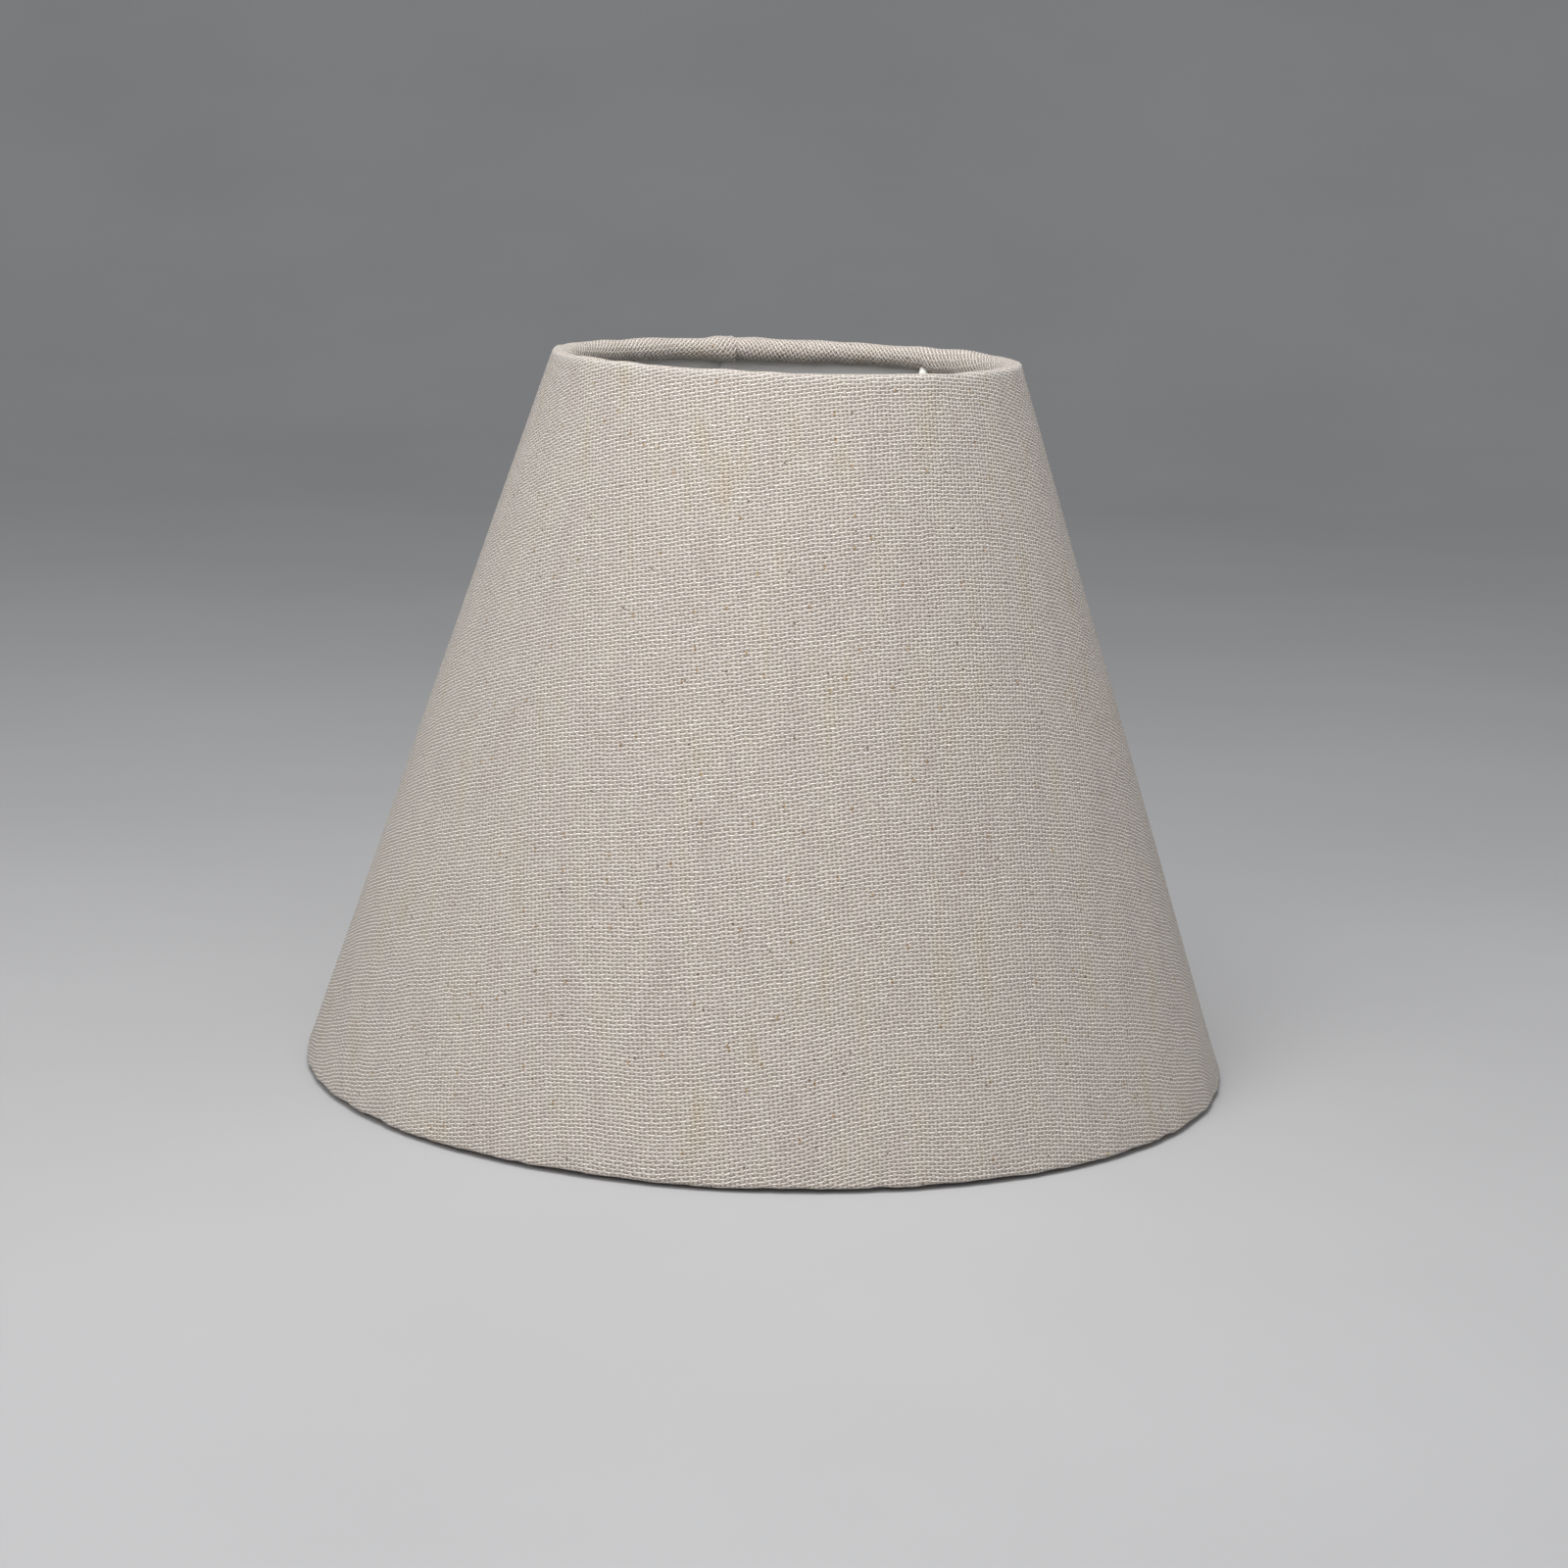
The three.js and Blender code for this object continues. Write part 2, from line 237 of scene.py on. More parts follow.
def with_runs(points, zero_run, zero_index):
    """Adds each point's run, its distance from the cone's tip as measured along the sheet."""
    runs = [0.0]
    for (a, _), (b, _) in zip(points, points[1:]):
        runs.append(runs[-1] + (b - a).length)
    shift = zero_run - runs[zero_index]
    return [(point, normal, run + shift) for (point, normal), run in zip(points, runs)]


def cloth_section():
    """From the cut edge inside the top hem, over the top ring, down the side and round the bottom ring."""
    top_roll = top_wire + Vector((0, HEM_RADIUS - TOP_ROLL_RADIUS))
    slack_up = bottom_wire + Vector((0, HEM_SLACK))
    inward = math.pi
    top_faces = math.radians(TOP_EDGE_FACES)
    bottom_faces = math.radians(BOTTOM_EDGE_FACES)
    top = joined(
        arc(top_roll, TOP_ROLL_RADIUS, math.radians(TOP_TURN_IN_ENDS), top_faces, ROLL_STEP),
        arc(top_fold, EDGE_RADIUS, top_faces, side_tilt, EDGE_RADIUS / 3),
        ROLL_STEP,
    )
    bottom = joined(
        arc(bottom_fold, EDGE_RADIUS, side_tilt, bottom_faces, EDGE_RADIUS / 3),
        arc(bottom_wire, HEM_RADIUS, bottom_faces, -inward, ROLL_STEP),
        ROLL_STEP,
    )
    bottom += arc(slack_up, HEM_RADIUS, -inward, math.radians(BOTTOM_TURN_IN_ENDS) - 2 * inward, ROLL_STEP)
    below_fold = top[-1][0] - up_the_side * CLOSE_LENGTH
    side = straight(top[-1][0], below_fold, CLOSE_STEP) + [(below_fold, outward)]
    side += straight(below_fold, bottom[0][0], SIDE_STEP)
    return with_runs(top + side + bottom, top_run, len(top) - 1)


def joined(first, second, step):
    """Two arcs with the straight line between them, which both of them touch."""
    return first + straight(first[-1][0], second[0][0], step, first[-1][1]) + second


def liner_section():
    layer = outward * (HEM_RADIUS - CLOTH - GAP)
    ends = [
        wire + layer + up_the_side * (fold - wire).dot(up_the_side)
        for wire, fold in ((top_wire, top_fold), (bottom_wire, bottom_fold))
    ]
    points = [(ends[0], outward), *straight(*ends, 2 * SIDE_STEP), (ends[1], outward)]
    return with_runs(points, ends[0].x / cone_sine, 0)


# ---------------------------------------------------------------- rolled sheets


def ease(value, start, stop):
    """0 before start and 1 after stop, with a smooth change between them."""
    t = min(max((value - start) / (stop - start), 0.0), 1.0)
    return t * t * (3 - 2 * t)


def flap_lift(azimuth, lift):
    """Lift of the layer that starts at the seam, until it is past the end of the layer under it."""
    return lift * (1 - ease(azimuth + 360, LAP_FALLS_FROM, LAP_FALLS_TO))


def cloth_place(azimuth, point, normal, run):
    """Where the cloth goes at an azimuth.

    On the side its laps stand out. On the rolls they lie closer, with the lower one pressed in.
    """
    past_top = top_run - run
    past_bottom = run - bottom_run
    on_side = (1 - ease(past_top, *LAP_SINKS)) * (1 - ease(past_bottom, *LAP_SINKS))
    over_liner = LINER_LIFT * ease(azimuth, LINER_LAP - LINER_LAP_SLOPE, LINER_LAP)
    side = on_side * (flap_lift(azimuth, FLAP_LIFT) + over_liner)
    tuck = UNDER_TUCK * ease(azimuth, CLOTH_FOLD - TUCK_SLOPE, CLOTH_FOLD)
    roll = (1 - on_side) * (flap_lift(azimuth, ROLL_LIFT) * ease(past_top, *ROLL_LIFT_GROWS) + tuck)
    bead = FOLD_BEAD * (1 - ease(azimuth + 360, CLOTH_FOLD, CLOTH_FOLD + FOLD_WIDTH))
    spot = point + outward * side + normal * (roll + bead + cloth_ripple(azimuth, point, run))
    spot.y -= turn_in_sag(azimuth) * ease(past_top, *SAG_GROWS)
    return spot


def turn_in_sag(azimuth):
    """The turned-in cloth hangs a little unevenly, and most of all in front of the back arm."""
    by_the_arm = ease(azimuth, *SAG_BEGINS) * (1 - ease(azimuth, *SAG_ENDS))
    return lumps(SAG_LUMPS, azimuth, 0.0) + SAG_BY_ARM * by_the_arm


def liner_place(azimuth, point, normal, run):
    return point + normal * flap_lift(azimuth, LINER_LIFT)


def wobble(azimuth, height, grain, seed):
    """Smooth unevenness, from about -1 to 1, in lumps of about the grain's size in millimetres."""
    turn = math.radians(azimuth)
    around = Vector((math.sin(turn), -math.cos(turn), 0)) * BOTTOM_RADIUS
    return NOISE_SPREAD * noise.noise((around + Vector((0, 0, height + seed))) / grain)


def lumps(kind, azimuth, height):
    rise, grain, seed = kind
    return rise * wobble(azimuth, height, grain, seed)


def cloth_ripple(azimuth, point, run):
    """The hems are uneven where the cloth is gathered over the wires, and the side is nearly smooth."""
    from_bottom = bottom_run - run
    from_top = run - top_run
    side = lumps(SIDE_LUMPS, azimuth, point.y)
    bottom = (lumps(HEM_LUMPS, azimuth, point.y / 3) + HEM_LEAN) * (1 - ease(from_bottom, *HEM_LUMPS_FADE))
    bottom += lumps(HEM_FRAY, azimuth, point.y) * (1 - ease(from_bottom, *HEM_FRAY_FADE))
    top = lumps(TOP_LUMPS, azimuth, point.y / 3) * (1 - ease(from_top, *TOP_LUMPS_FADE))
    return side + bottom + top


def rolled_sheet(name, section, stations, place_at):
    """A strip rolled up round the shade, one face thick.

    Its UV map is its flat pattern in metres.
    Its fold attribute is 1 along the crisp fold at the top, where the cloth gets a painted highlight.
    """
    mesh = bmesh.new()
    flat = mesh.loops.layers.uv.new("flat_pattern")
    highlight_layer = mesh.verts.layers.float.new("fold_highlight")
    columns = []
    for azimuth in stations:
        turn = math.radians(azimuth)
        ring = []
        for point, normal, run in section:
            spot = place_at(azimuth, point, normal, run)
            place = Vector((spot.x * math.sin(turn), -spot.x * math.cos(turn), spot.y))
            vertex = mesh.verts.new(place * MM)
            # Weight of the painted highlight along the top fold.
            vertex[highlight_layer] = math.exp(-(((run - top_run) / FOLD_HIGHLIGHT_REACH) ** 2))
            ring.append(vertex)
        columns.append(ring)
    for i in range(len(stations) - 1):
        for k in range(len(section) - 1):
            corners = ((i, k), (i, k + 1), (i + 1, k + 1), (i + 1, k))
            face = mesh.faces.new([columns[a][b] for a, b in corners])
            face.smooth = True
            for loop, (a, b) in zip(face.loops, corners):
                loop[flat].uv = thread_place(stations[a], section[b][2]) * MM
    data = bpy.data.meshes.new(name)
    mesh.to_mesh(data)
    mesh.free()
    sheet = bpy.data.objects.new(name, data)
    bpy.context.collection.objects.link(sheet)
    return sheet


def thread_place(azimuth, run):
    """Where a point of the rolled sheet lies in the weave: along the weft and along the warp."""
    turn = math.radians(azimuth - GRAIN_AZIMUTH) * cone_sine
    along_weft = run * math.sin(turn)
    along_warp = -run * math.cos(turn)
    rise = waves(WEFT_BOW, along_weft)
    pull = waves(WEFT_PULLS, along_weft) * math.exp((run - bottom_run) / PULL_REACH)
    return Vector((along_weft, along_warp + GRAIN_TURN * along_weft - rise - pull))


def waves(kinds, along):
    return sum(height * math.sin(math.tau * along / length + phase) for length, height, phase in kinds)


def evenly(start, stop, step):
    count = math.ceil((stop - start) / step)
    return [start + (stop - start) * i / count for i in range(count + 1)]


def give_thickness(sheet, thickness):
    wall = sheet.modifiers.new("thickness", "SOLIDIFY")
    wall.thickness = thickness * MM
    wall.offset = -1
    wall.use_even_offset = True


def cut_snips(sheet):
    """Opens the turned-in cloth at each arm, from the wire down to the cut edge."""
    mesh = bmesh.new()
    mesh.from_mesh(sheet.data)
    cut = [face for face in mesh.faces if in_snip(face.calc_center_median() / MM)]
    bmesh.ops.delete(mesh, geom=cut, context="FACES")
    mesh.to_mesh(sheet.data)
    mesh.free()


def in_snip(centre):
    root = arm_points()[0]
    if not root.y - SNIP_ENDS * HEM_RADIUS < centre.z < top_wire.y - SNIP_STARTS * HEM_RADIUS:
        return False
    for azimuth in ARM_AZIMUTHS.values():
        turn = math.radians(azimuth)
        along = centre.x * math.sin(turn) - centre.y * math.cos(turn)
        across = centre.x * math.cos(turn) + centre.y * math.sin(turn)
        if abs(across) < WIRE_RADIUS + SNIP_CLEARANCE and 0 < along < top_wire.x + WIRE_RADIUS:
            return True
    return False


# ---------------------------------------------------------------- the pieces


def build_cover():
    stations = evenly(CLOTH_FOLD - 360, UNDER_ENDS, COVER_STATIONS)
    cover = rolled_sheet("woven_cover", cloth_section(), stations, cloth_place)
    cut_snips(cover)
    give_thickness(cover, CLOTH)
    return cover


def build_liner():
    stations = evenly(LINER_LAP - 360, UNDER_ENDS, LINER_STATIONS)
    liner = rolled_sheet("film_liner", liner_section(), stations, liner_place)
    give_thickness(liner, LINER)
    return liner


def arm_points():
    """The arm's root at the top ring, its corner, and its tip at the fitter ring, as a section."""
    angle = math.radians(ARM_ROOT_ANGLE)
    root = top_wire + Vector((math.cos(angle), math.sin(angle))) * WIRE_RADIUS
    foot_height = FITTER_TOP - PLATE - WIRE_RADIUS - GAP
    corner = Vector((FITTER_RADIUS + ARM_FOOT, foot_height))
    tip = Vector((FITTER_RADIUS, foot_height))
    return root, corner, tip


def nothing_selected():
    if bpy.context.object and bpy.context.object.mode != "OBJECT":
        bpy.ops.object.mode_set(mode="OBJECT")
    bpy.ops.object.select_all(action="DESELECT")


def model_arm():
    """One bent wire towards +X, with a weld bead at the top ring and another at the fitter ring."""
    root, corner, tip = (Vector((spot.x, 0, spot.y)) * MM for spot in arm_points())
    bend_start = corner + (root - corner).normalized() * ARM_BEND * MM
    bend_end = corner.lerp(tip, BEND_END)
    nothing_selected()
    bpy.ops.curve.primitive_bezier_curve_add()
    arm = bpy.context.object
    knots = arm.data.splines[0].bezier_points
    knots.add(2)
    for knot, spot in zip(knots, (root, bend_start, bend_end, tip)):
        knot.handle_left_type = knot.handle_right_type = "VECTOR"
        knot.co = spot
    round_the_bend(knots, corner)
    arm.data.dimensions = "3D"
    arm.data.resolution_u = 10
    arm.data.bevel_depth = WIRE_RADIUS * MM
    arm.data.bevel_resolution = 5
    arm.data.use_fill_caps = True
    bpy.ops.object.convert(target="MESH")
    arm = bpy.context.object
    bpy.ops.object.mode_set(mode="EDIT")
    bpy.ops.mesh.select_all(action="SELECT")
    bpy.ops.mesh.remove_doubles(threshold=MERGE)
    bpy.ops.mesh.normals_make_consistent(inside=False)
    bpy.ops.object.mode_set(mode="OBJECT")
    beads = [build_weld_bead(root, ROOT_BEAD), build_weld_bead(tip, FOOT_BEAD)]
    nothing_selected()
    for piece in (*beads, arm):
        piece.select_set(True)
    bpy.context.view_layer.objects.active = arm
    bpy.ops.object.join()
    bpy.ops.object.shade_smooth()
    return arm


def round_the_bend(knots, corner):
    """Points the facing handles of the two inner knots at the corner."""
    for knot in knots[1:3]:
        knot.handle_left_type = knot.handle_right_type = "FREE"
    knots[1].handle_left = knots[1].co.lerp(knots[0].co, 0.1)
    knots[1].handle_right = knots[1].co.lerp(corner, BEND_ROUNDING)
    knots[2].handle_left = knots[2].co.lerp(corner, BEND_ROUNDING)
    knots[2].handle_right = knots[2].co.lerp(knots[3].co, 0.3)


def build_weld_bead(place, size):
    """A lump of weld metal under the enamel, slightly uneven."""
    nothing_selected()
    bpy.ops.mesh.primitive_uv_sphere_add(segments=20, ring_count=12, radius=size * MM, location=place)
    bead = bpy.context.object
    for vertex in bead.data.vertices:
        vertex.co *= 1 + BEAD_LUMPS * noise.noise(vertex.co / MM * BEAD_LUMPS_PER_MM + place / MM)
    bpy.ops.object.transform_apply(location=True, rotation=True, scale=True)
    return bead


def build_arms():
    """The three arms, as turned copies of one."""
    pattern = model_arm()
    arms = {}
    for side, azimuth in ARM_AZIMUTHS.items():
        arm = pattern.copy()
        arm.data = pattern.data.copy()
        arm.name = f"enamelled_arm_{side}"
        arm.data.transform(Matrix.Rotation(math.radians(azimuth - 90), 4, "Z"))
        bpy.context.collection.objects.link(arm)
        arms[side] = arm
    bpy.data.objects.remove(pattern)
    return arms


def build_fitter():
    """A pressed ring: a flat seat round the bore, and a wall turned down at its edge."""
    nothing_selected()
    middle = (FITTER_BORE_RADIUS + FITTER_RADIUS) / 2
    width = FITTER_RADIUS - FITTER_BORE_RADIUS
    bpy.ops.mesh.primitive_plane_add(
        size=1, location=(middle * MM, 0, (FITTER_TOP - PLATE / 2) * MM), rotation=(math.pi / 2, 0, 0)
    )
    fitter = bpy.context.object
    fitter.name = "enamelled_fitter"
    fitter.scale = (width * MM, PLATE * MM, 1)
    bpy.ops.object.transform_apply(location=True, rotation=True, scale=True)
    bpy.ops.object.mode_set(mode="EDIT")
    bpy.ops.mesh.bisect(plane_co=((FITTER_RADIUS - PLATE) * MM, 0, 0), plane_no=(1, 0, 0))
    select_edges(fitter, lambda a, b: is_wall_start(a) and is_wall_start(b))
    bpy.ops.mesh.extrude_region_move(
        TRANSFORM_OT_translate={"value": (0, 0, -(FITTER_DEPTH - PLATE) * MM)}
    )
    bpy.ops.mesh.select_all(action="SELECT")
    bpy.ops.mesh.spin(steps=96, angle=math.tau, center=(0, 0, 0), axis=(0, 0, 1))
    bpy.ops.mesh.select_all(action="SELECT")
    bpy.ops.mesh.remove_doubles(threshold=MERGE)
    bpy.ops.mesh.delete_loose()
    bpy.ops.mesh.select_all(action="SELECT")
    bpy.ops.mesh.normals_make_consistent(inside=False)
    bpy.ops.object.mode_set(mode="OBJECT")
    return fitter


def is_wall_start(place):
    return abs(place.z / MM - (FITTER_TOP - PLATE)) < NEAR and place.x / MM > FITTER_RADIUS - PLATE - NEAR


def select_edges(piece, wanted):
    """Selects the edges of a piece in edit mode whose two ends are wanted, and nothing else."""
    bpy.ops.mesh.select_mode(type="EDGE")
    bpy.ops.mesh.select_all(action="DESELECT")
    mesh = bmesh.from_edit_mesh(piece.data)
    for edge in mesh.edges:
        edge.select_set(wanted(edge.verts[0].co, edge.verts[1].co))
    mesh.select_flush(True)
    bmesh.update_edit_mesh(piece.data)


# ---------------------------------------------------------------- finishes


def linear(hex_colour):
    """An sRGB hex colour as linear RGBA."""
    parts = [int(hex_colour[i : i + 2], 16) / 255 for i in (1, 3, 5)]
    return (*(c / 12.92 if c <= 0.04045 else ((c + 0.055) / 1.055) ** 2.4 for c in parts), 1.0)


def add(tree, kind, links=None, **settings):
    """Adds a node. A link's value is another node's output, or a plain value for the socket."""
    node = tree.nodes.new(kind)
    for name, value in settings.items():
        setattr(node, name, value)
    for socket, value in (links or {}).items():
        if isinstance(value, bpy.types.NodeSocket):
            tree.links.new(value, node.inputs[socket])
        else:
            node.inputs[socket].default_value = value
    return node


def new_finish(name, roughness, **sockets):
    """A material with its shader's even values set, and its node tree."""
    finish = bpy.data.materials.new(name)
    finish.use_nodes = True
    shader = finish.node_tree.nodes["Principled BSDF"]
    shader.inputs["Roughness"].default_value = roughness
    for socket, value in sockets.items():
        shader.inputs[socket.replace("_", " ")].default_value = value
    return finish, finish.node_tree, shader


def woven_cotton():
    """Coarse undyed cotton in plain weave: thin pale weft in dashes with painted highlights, over a full bed
    of warp painted greyer as shade.

    Along the fold at the top the cloth gets a painted highlight, whiter where the fold catches the light.
    """
    finish, tree, shader = new_finish(
        "undyed_cotton_plain_weave", 0.95, Sheen_Weight=0.12, Sheen_Roughness=0.6
    )
    threads, nearest = thread_count(tree)
    warp_height, weft_height = thread_heights(tree, threads, nearest)
    height = add(tree, "ShaderNodeMath", {0: warp_height, 1: weft_height}, operation="MAXIMUM").outputs[0]
    weft_shows = add(tree, "ShaderNodeMath", {0: weft_height, 1: warp_height}, operation="GREATER_THAN")
    yarn = yarn_colour(tree, threads, nearest, weft_shows.outputs[0])
    # Painted shade and highlight: the ramp darkens the cloth where the threads sink into the gaps and whitens
    # their raised tops.
    shade = add(tree, "ShaderNodeValToRGB", {"Fac": height})
    set_ramp(shade, ((0.0, "#9F9993"), (0.3, "#CCC7C1"), (0.62, "#F1EEEA"), (0.95, "#FFFFFF")))
    woven = add(
        tree,
        "ShaderNodeMix",
        {"Factor": 1.0, "A": yarn, "B": shade.outputs["Color"]},
        data_type="RGBA",
        blend_type="MULTIPLY",
    )
    coloured = cotton_flecks(tree, tinted(tree, fibrous(tree, colour_output(woven))))
    # Painted highlight: the cloth is mixed towards white along the top fold, where the fold catches the
    # light.
    highlight_mask = add(tree, "ShaderNodeAttribute", attribute_name="fold_highlight")
    highlight_amount = add(tree, "ShaderNodeMath", {0: highlight_mask.outputs["Fac"], 1: FOLD_HIGHLIGHT_SHARE}, operation="MULTIPLY")
    highlighted = add(
        tree,
        "ShaderNodeMix",
        {"Factor": highlight_amount.outputs[0], "A": coloured, "B": linear("#F4F0EA")},
        data_type="RGBA",
    )
    tree.links.new(colour_output(highlighted), shader.inputs["Base Color"])
    relief = add(tree, "ShaderNodeBump", {"Height": height, "Strength": 0.7, "Distance": THREAD_RELIEF * MM})
    tree.links.new(relief.outputs["Normal"], shader.inputs["Normal"])
    return finish


def colour_output(mix):
    """The colour output of a Mix node, which has one output of each kind."""
    return next(socket for socket in mix.outputs if socket.type == "RGBA")


def set_ramp(node, stops):
    ramp = node.color_ramp
    while len(ramp.elements) < len(stops):
        ramp.elements.new(0.5)
    for element, (place, colour) in zip(ramp.elements, stops):
        element.position = place
        element.color = linear(colour)


def thread_count(tree):
    """The place on the flat pattern counted in threads, and the nearest crossing of warp and weft."""
    flat = add(tree, "ShaderNodeUVMap", uv_map="flat_pattern").outputs["UV"]
    drift = add(
        tree,
        "ShaderNodeTexNoise",
        {"Vector": flat, "Scale": 1 / (YARN_DRIFT_LENGTH * MM), "Detail": 3.0, "Roughness": 0.66},
    )
    spread = (YARN_DRIFT * MM, YARN_DRIFT * MM, 0)
    drifted = add(
        tree,
        "ShaderNodeVectorMath",
        {0: drift.outputs["Color"], 1: spread, 2: flat},
        operation="MULTIPLY_ADD",
    )
    per_metre = (1 / (WARP_PITCH * MM), 1 / (WEFT_PITCH * MM), 0)
    threads = add(tree, "ShaderNodeVectorMath", {0: drifted.outputs[0], 1: per_metre}, operation="MULTIPLY")
    half_on = add(tree, "ShaderNodeVectorMath", {0: threads.outputs[0], 1: (0.5, 0.5, 0)}, operation="ADD")
    nearest = add(tree, "ShaderNodeVectorMath", {0: half_on.outputs[0]}, operation="FLOOR")
    return threads.outputs[0], nearest.outputs[0]


def thread_heights(tree, threads, nearest):
    """Heights of the warp and the weft, each one rising over every second thread of the other."""
    half_turns = (math.pi, math.pi, 0)
    swing = add(tree, "ShaderNodeVectorMath", {0: threads, 1: half_turns}, operation="MULTIPLY")
    swing = add(tree, "ShaderNodeVectorMath", {0: swing.outputs[0]}, operation="COSINE")
    order = add(tree, "ShaderNodeVectorMath", {0: nearest, 1: half_turns}, operation="MULTIPLY")
    order = add(tree, "ShaderNodeVectorMath", {0: order.outputs[0]}, operation="COSINE")
    swing_parts = add(tree, "ShaderNodeSeparateXYZ", {0: swing.outputs[0]})
    down = add(tree, "ShaderNodeMath", {0: swing_parts.outputs["Y"], 1: -1.0}, operation="MULTIPLY")
    crossed = add(tree, "ShaderNodeCombineXYZ", {"X": down.outputs[0], "Y": swing_parts.outputs["X"]})
    rise = add(
        tree,
        "ShaderNodeVectorMath",
        {0: crossed.outputs[0], 1: order.outputs[0]},
        operation="MULTIPLY",
    )
    lift = add(
        tree,
        "ShaderNodeVectorMath",
        {0: rise.outputs[0], 1: THREAD_SWING, 2: THREAD_MIDDLE},
        operation="MULTIPLY_ADD",
    )
    off = add(tree, "ShaderNodeVectorMath", {0: threads, 1: nearest}, operation="SUBTRACT")
    square = add(tree, "ShaderNodeVectorMath", {0: off.outputs[0], 1: off.outputs[0]}, operation="MULTIPLY")
    narrowing = tuple(-1 / half**2 for half in THREAD_HALF_WIDTH) + (0,)
    round_back = add(
        tree,
        "ShaderNodeVectorMath",
        {0: square.outputs[0], 1: narrowing, 2: (1, 1, 0)},
        operation="MULTIPLY_ADD",
    )
    body = add(tree, "ShaderNodeVectorMath", {0: round_back.outputs[0], 1: (0, 0, 0)}, operation="MAXIMUM")
    luck = add(tree, "ShaderNodeTexWhiteNoise", {"Vector": nearest}, noise_dimensions="2D")
    uneven = add(
        tree,
        "ShaderNodeVectorMath",
        {0: luck.outputs["Color"], 1: THREAD_UNEVEN, 2: lift.outputs[0]},
        operation="MULTIPLY_ADD",
    )
    heights = add(
        tree,
        "ShaderNodeVectorMath",
        {0: uneven.outputs[0], 1: body.outputs[0]},
        operation="MULTIPLY",
    )
    parts = add(tree, "ShaderNodeSeparateXYZ", {0: heights.outputs[0]})
    return parts.outputs["X"], parts.outputs["Y"]


def yarn_colour(tree, threads, nearest, weft_shows):
    """Each yarn's own tone, uneven along its length and a little lighter or darker than the next; the warp is
    also painted greyer, as painted shade.
    """
    tones = []
    for along, seed in (("Y", 11.0), ("X", 47.0)):
        stretched = stretch_along(tree, threads, nearest, along, seed)
        tones.append(add(tree, "ShaderNodeTexNoise", {"Vector": stretched, "Scale": 1.0, "Detail": 3.0}))
    # The warp's greyer tones are painted shade: the light catches the upper flanks of the weft more than the
    # warp.
    warp_tone_and_painted_shade = add(tree, "ShaderNodeValToRGB", {"Fac": tones[0].outputs["Fac"]})
    set_ramp(warp_tone_and_painted_shade, ((0.25, "#C5BDB6"), (0.5, "#CFC8C0"), (0.75, "#D9D2CB")))
    weft_ramp = add(tree, "ShaderNodeValToRGB", {"Fac": tones[1].outputs["Fac"]})
    set_ramp(weft_ramp, ((0.25, "#EFEAE4"), (0.5, "#F9F5F1"), (0.75, "#FFFDFC")))
    yarn = add(
        tree,
        "ShaderNodeMix",
        {"Factor": weft_shows, "A": warp_tone_and_painted_shade.outputs["Color"], "B": weft_ramp.outputs["Color"]},
        data_type="RGBA",
    )
    return colour_output(yarn)


def stretch_along(tree, threads, nearest, along, seed):
    """Coordinates that change slowly along a thread and at once from one thread to the next."""
    along_parts = add(tree, "ShaderNodeSeparateXYZ", {0: threads})
    across_parts = add(tree, "ShaderNodeSeparateXYZ", {0: nearest})
    across = "X" if along == "Y" else "Y"
    slow = add(tree, "ShaderNodeMath", {0: along_parts.outputs[along], 1: SLUB_RATE}, operation="MULTIPLY")
    jump = add(tree, "ShaderNodeMath", {0: across_parts.outputs[across], 1: seed}, operation="MULTIPLY")
    place = add(tree, "ShaderNodeCombineXYZ", {"X": slow.outputs[0], "Y": jump.outputs[0], "Z": seed})
    return place.outputs[0]


def cotton_flecks(tree, colour):
    """Undyed cotton keeps bits of seed coat: dark specks, and faint straw-coloured marks along the warp."""
    flat = add(tree, "ShaderNodeUVMap", uv_map="flat_pattern").outputs["UV"]
    for (wide, tall), reach, share, fleck_colour, strength in FLECKS:
        per_cell = (1 / (wide * MM), 1 / (tall * MM), 0)
        cells = add(tree, "ShaderNodeVectorMath", {0: flat, 1: per_cell}, operation="MULTIPLY")
        spots = add(
            tree,
            "ShaderNodeTexVoronoi",
            {"Vector": cells.outputs[0], "Scale": 1.0},
            voronoi_dimensions="2D",
        )
        near = add(
            tree,
            "ShaderNodeMapRange",
            {
                "Value": spots.outputs["Distance"],
                "From Min": reach,
                "From Max": reach * FLECK_CORE,
                "To Max": strength,
            },
        )
        luck = add(tree, "ShaderNodeSeparateColor", {0: spots.outputs["Color"]})
        chosen = add(tree, "ShaderNodeMath", {0: luck.outputs["Red"], 1: share}, operation="LESS_THAN")
        amount = add(tree, "ShaderNodeMath", {0: near.outputs[0], 1: chosen.outputs[0]}, operation="MULTIPLY")
        marked = add(
            tree,
            "ShaderNodeMix",
            {"Factor": amount.outputs[0], "A": colour, "B": linear(fleck_colour)},
            data_type="RGBA",
            blend_type="MULTIPLY",
        )
        colour = colour_output(marked)
    return colour


def fibrous(tree, colour):
    """The fibres in a yarn catch the light unevenly, at a fraction of a thread's width."""
    flat = add(tree, "ShaderNodeUVMap", uv_map="flat_pattern").outputs["UV"]
    fibres = add(tree, "ShaderNodeTexNoise", {"Vector": flat, "Scale": 1 / (FIBRE_GRAIN * MM), "Detail": 2.0})
    shade = add(tree, "ShaderNodeValToRGB", {"Fac": fibres.outputs["Fac"]})
    set_ramp(shade, ((0.25, "#DAD5D0"), (0.6, "#FFFFFF")))
    mixed = add(
        tree,
        "ShaderNodeMix",
        {"Factor": 1.0, "A": colour, "B": shade.outputs["Color"]},
        data_type="RGBA",
        blend_type="MULTIPLY",
    )
    return colour_output(mixed)


